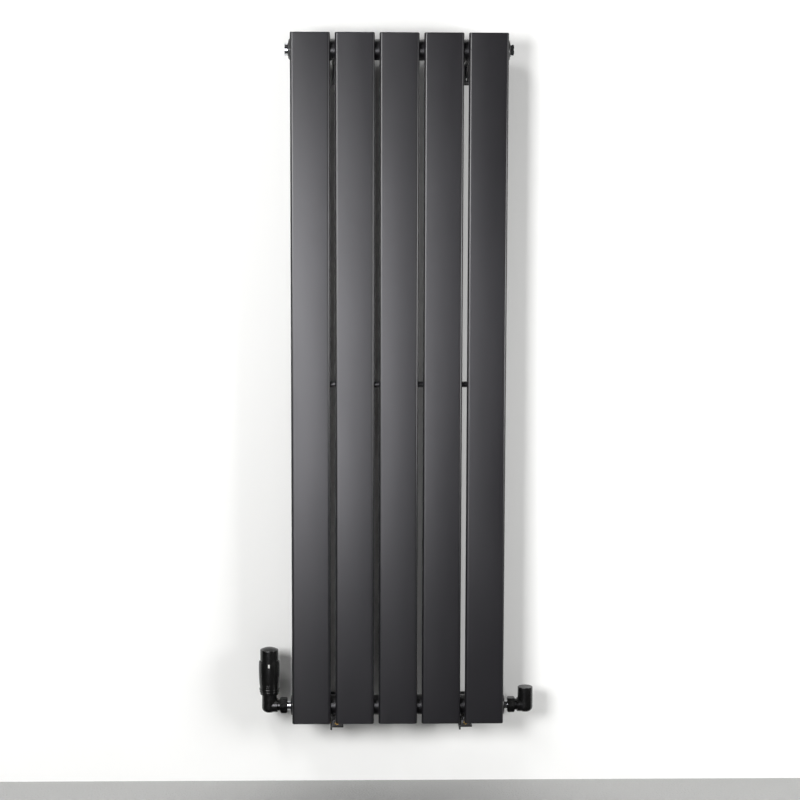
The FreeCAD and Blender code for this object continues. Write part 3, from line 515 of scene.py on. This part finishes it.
yellow_zinc = plated("yellow_zinc", dark=(0.42, 0.22, 0.05, 1.0), light=(0.78, 0.52, 0.16, 1.0),
                     gloss=0.22, smear=0.2)
bright_zinc = plated("bright_zinc", dark=(0.40, 0.41, 0.43, 1.0), light=(0.62, 0.64, 0.67, 1.0),
                     gloss=0.24, smear=0.2)
for side in ("left", "right"):
    node = "bracket_bottom_" + side
    fit(node + "_shelf", eased(node, bracket_edge, bracket_edge_steps), bracket_black,
        "bracket_paint", "radiator", node)
low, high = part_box("height_screws")
screw_radius = (high.y - low.y) / 2
screws = [threaded_rod("screw", x, (low.y + high.y) / 2, low.z, high.z, screw_radius)
          for x in (low.x + screw_radius, high.x - screw_radius)]
fit("height_screw_threads", join("height_screw_threads", screws), bright_zinc, "bright_zinc",
    "radiator", "height_screws")
dress(nylon, "header_saddles")
dress(yellow_zinc, "saddle_bolts", "saddle_nuts")
dress(bright_zinc, "height_nuts")

# ---- Valve bodies ----
# Both valves share one forged brass angle body in satin black. Its branch points at the radiator
# and its inlet at the wall.


def valve_coat(name):
    """Thin satin black coat on forged brass, with a fine grain and a few duller specks."""
    finish, place = new_finish(name)
    cloud = place.noise(85.0, 4.0)
    grain = place.noise(1300.0, 3.0)
    speck = place.noise(2100.0, 2.0).between(0.76, 0.8)
    colour = (cloud * 0.6 + grain * 0.4).between(0.3, 0.7).blend(grey(0.0030, 0.03), grey(0.0062, 0.01))
    surface(finish, grain * 0.8 - speck * 0.4, depth=0.00004, Base_Color=colour,
            Roughness=cloud.between(0.3, 0.8) * 0.08 + 0.2 + speck * 0.1, Specular_IOR_Level=0.5)
    return finish


valve_black = valve_coat("valve_satin_black")
dress(valve_black, "thermostatic_valve_body", "lockshield_valve_body")

# ---- Unions ----
# A chamfered hexagon nut on each branch draws a chromed tail against a fibre-reinforced washer.
# The nut on the inlet squeezes a brass olive onto the pipe.

for prefix in ("thermostatic_valve_", "lockshield_valve_"):
    dress(valve_black, prefix + "union_nut", prefix + "pipe_nut")
    dress(chrome, prefix + "tail")
    dress(seal_rubber, prefix + "tail_washer")
    dress(brass, prefix + "olive")

# ---- Thermostatic insert ----
# A brass insert is screwed into the body. Its stainless pin is pushed up by a spring and carries
# the rubber disc that closes on the seat. The spring is drawn from its own copy of the CAD mesh.

steel = plated("drawn_steel", dark=(0.36, 0.36, 0.37, 1.0), light=(0.58, 0.58, 0.60, 1.0),
               gloss=0.2, smear=0.18)
dress(brass, "thermostatic_insert")
dress(steel, "valve_pin", "spring_seat")
low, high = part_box("pin_spring")
coil = fit("pin_spring_coil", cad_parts["pin_spring"].data.copy(), steel, "steel", "radiator",
           "pin_spring")
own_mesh(coil)
dress(seal_rubber, "valve_disc")

# ---- Thermostatic head ----
# The head is moulded in black plastic: a lock ring, a barrel with two grooves, a notch and a thumb
# recess, and a turning sleeve under a domed cap. The brass sensor and its steel spring are inside.

head_plastic = moulded("head_plastic", grey(0.0028, 0.02), grey(0.0058, 0.01), gloss=0.21,
                       grain_depth=0.000006, grain_scale=2200.0)
dress(head_plastic, "head_lock_ring", "head_barrel", "handwheel", "handwheel_cap")
dress(brass, "thermostat_sensor")
dress(steel, "overload_spring")

# ---- Barrel beads ----
# Two rounded beads run round the foot of the barrel, below its grooves. They are moulded with it
# and give the fingers a grip.

bead_heights = ((0.0003, 0.0033), (0.0037, 0.0081))
bead_swell = 0.0008
bead_root = 0.0004
bead_roundness = 0.6
bead_sides = 96
bead_steps = 10
bead_crease = 60.0
barrel_foot = 0.0162
waist_height = 0.030


def bead(name, bottom, top):
    """A ring with a rounded outside that follows the barrel's flare between two heights."""
    low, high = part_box("head_barrel")
    x = (low.x + high.x) / 2
    y = (low.y + high.y) / 2
    waist = (high.x - low.x) / 2
    outline = []
    for i in range(bead_steps + 1):
        z = bottom + (top - bottom) * (1 - math.cos(math.pi * i / bead_steps)) / 2
        flare = barrel_foot + (waist - barrel_foot) * math.sin(z / waist_height * math.pi / 2)
        swell = math.sin(math.pi * i / bead_steps) ** bead_roundness
        outline.append((flare - bead_root + (bead_swell + bead_root) * swell, z))
    outline += [(barrel_foot - 2 * bead_root, z) for z in (top, bottom)]
    rings = []
    for j in range(bead_sides):
        a = 2 * math.pi * j / bead_sides
        rings.append([(x + r * math.cos(a), y + r * math.sin(a), low.z + z) for r, z in outline])
    return skin(name, rings, loop=True, sharp=bead_crease)


beads = [bead("bead", bottom, top) for bottom, top in bead_heights]
fit("head_barrel_beads", join("head_barrel_beads", beads), head_plastic, "black_plastic", "radiator")

# ---- Setting marks ----
# Six small plates are let into the sleeve, stepped round it, and filled with white enamel. The one
# at the barrel's notch shows the setting.


def enamel(name):
    """White enamel, a little yellowed in places."""
    finish, place = new_finish(name)
    age = place.noise(500.0, 4.0)
    grain = place.noise(2600.0, 2.0)
    colour = age.between(0.35, 0.75).blend((0.60, 0.60, 0.58, 1.0), (0.44, 0.43, 0.40, 1.0))
    surface(finish, grain, depth=0.00002, Base_Color=colour, Roughness=age * 0.2 + 0.25)
    return finish


dress(enamel("white_enamel"), "setting_marks")

# ---- Lockshield top works ----
# A brass bonnet guides the regulating spindle and its disc holder. A plain black cap is pushed
# down over its hexagon.

dress(brass, "lockshield_bonnet", "lockshield_spindle")
dress(seal_rubber, "lockshield_stem_seal", "lockshield_disc")
dress(nylon, "lockshield_disc_holder")
dress(head_plastic, "lockshield_cap")

# ---- Wall and floor ----
# A white painted wall carries the radiator just above a pale floor. Both are drawn from their
# front only, so that the object can be seen from behind and from below.

wall_half = 3.0
wall_top = 3.0
wall_gap = 0.0002
wall_colour = (0.86, 0.86, 0.85, 1.0)
floor_half = 6.0
floor_z = -0.727
floor_near = -6.0
floor_far = 5.0
floor_colour = (0.46, 0.46, 0.455, 1.0)
patch_shade = 0.93
first_bounce = (1.4, 1.6)


def backdrop(name, corners, colour, grain_depth, speckle):
    """A flat sheet in matt paint. Lamps behind it shine through it on what is seen first, and not
    on what is seen by a bounce."""
    finish, place = new_finish(name)
    tree = finish.node_tree
    fibre = place.noise(260.0, 3.0)
    cloud = place.noise(3.0, 3.0)
    tone = (cloud * 0.4 + fibre * 0.6 * speckle).between(0.1, 0.8)
    shaded = [c * patch_shade for c in colour[:3]] + [1.0]
    surface(finish, fibre, depth=grain_depth, Base_Color=tone.blend(colour, shaded),
            Roughness=cloud * 0.1 + 0.8, Specular_IOR_Level=0.0)
    geometry = tree.nodes.new("ShaderNodeNewGeometry")
    path = tree.nodes.new("ShaderNodeLightPath")
    first = 1 - Wire(path.outputs["Ray Depth"]).between(*first_bounce)
    passed = Wire(path.outputs["Is Shadow Ray"]) * first
    clear = passed.math("MAXIMUM", Wire(geometry.outputs["Backfacing"]), passed)
    see_through = tree.nodes.new("ShaderNodeBsdfTransparent")
    mixed = tree.nodes.new("ShaderNodeMixShader")
    tree.links.new(clear.socket, mixed.inputs[0])
    tree.links.new(tree.nodes["Principled BSDF"].outputs[0], mixed.inputs[1])
    tree.links.new(see_through.outputs[0], mixed.inputs[2])
    tree.links.new(mixed.outputs[0], tree.nodes["Material Output"].inputs[0])
    mesh = bpy.data.meshes.new(name)
    mesh.from_pydata(corners, [], [(0, 1, 2, 3)])
    mesh.materials.append(finish)
    sheet = bpy.data.objects.new(name, mesh)
    bpy.context.scene.collection.objects.link(sheet)
    return sheet


backdrop(
    "wall",
    [(-wall_half, wall_gap, floor_z), (wall_half, wall_gap, floor_z),
     (wall_half, wall_gap, wall_top), (-wall_half, wall_gap, wall_top)],
    wall_colour, grain_depth=0.00002, speckle=0.0)
floor = backdrop(
    "floor",
    [(-floor_half, floor_near, floor_z), (floor_half, floor_near, floor_z),
     (floor_half, floor_far, floor_z), (-floor_half, floor_far, floor_z)],
    floor_colour, grain_depth=0.002, speckle=1.0)
floor.visible_glossy = False

# ---- Light ----
# Soft boxes stand to the left, to the right and above, and one in front only adds a sheen. The
# ceiling lights the floor and nothing else. Two boxes behind the wall light the radiator's back.

soft_boxes = (
    ("sheen", (-0.49, -2.30, -0.10), (0.0, 0.0, 0.0), 0.86, 1.15, 30.0),
    ("key", (-1.36, -2.15, 0.50), (0.0, 0.0, 0.0), 0.85, 0.95, 59.0),
    ("fill", (1.85, -1.20, 0.10), (0.0, 0.0, 0.0), 0.85, 0.85, 38.0),
    ("top", (-0.90, -1.50, 1.95), (-0.2, 0.0, -0.3), 0.60, 0.50, 17.0),
    ("ceiling", (0.0, -0.5, 4.5), (0.0, -0.5, 0.0), 9.0, 9.0, 400.0),
    ("back_left", (-1.2, 2.3, 0.1), (0.0, 0.0, 0.0), 1.6, 1.3, 30.0),
    ("back_right", (1.1, 2.4, 0.2), (0.0, 0.0, 0.0), 1.4, 1.3, 24.0))
sheen_tint = (0.96, 0.95, 1.0)
sky_seen = 0.66
sky_light = 0.03

floor_only = bpy.data.collections.new("floor_only")
all_but_floor = bpy.data.collections.new("all_but_floor")
for lit in (floor_only, all_but_floor):
    lit.objects.link(floor)
all_but_floor.collection_objects[0].light_linking.link_state = "EXCLUDE"
for name, place, target, width, height, watts in soft_boxes:
    lamp = bpy.data.lights.new(name, "AREA")
    lamp.shape = "RECTANGLE"
    lamp.size = width
    lamp.size_y = height
    lamp.energy = watts
    box = bpy.data.objects.new(name, lamp)
    box.location = place
    box.rotation_euler = (Vector(target) - Vector(place)).to_track_quat("-Z", "Y").to_euler()
    box.visible_camera = False
    box.light_linking.receiver_collection = all_but_floor
    bpy.context.scene.collection.objects.link(box)
bpy.data.lights["sheen"].color = sheen_tint
bpy.data.objects["sheen"].visible_diffuse = False
bpy.data.objects["ceiling"].light_linking.receiver_collection = floor_only

room = bpy.data.worlds.new("room")
room.use_nodes = True
bpy.context.scene.world = room
sky = room.node_tree.nodes["Background"]
sky_path = room.node_tree.nodes.new("ShaderNodeLightPath")
strength = Wire(sky_path.outputs["Is Camera Ray"]) * sky_seen + sky_light
room.node_tree.links.new(strength.socket, sky.inputs["Strength"])
sky.inputs["Color"].default_value = (1.0, 1.0, 1.0, 1.0)
bpy.context.scene.view_settings.view_transform = "Standard"
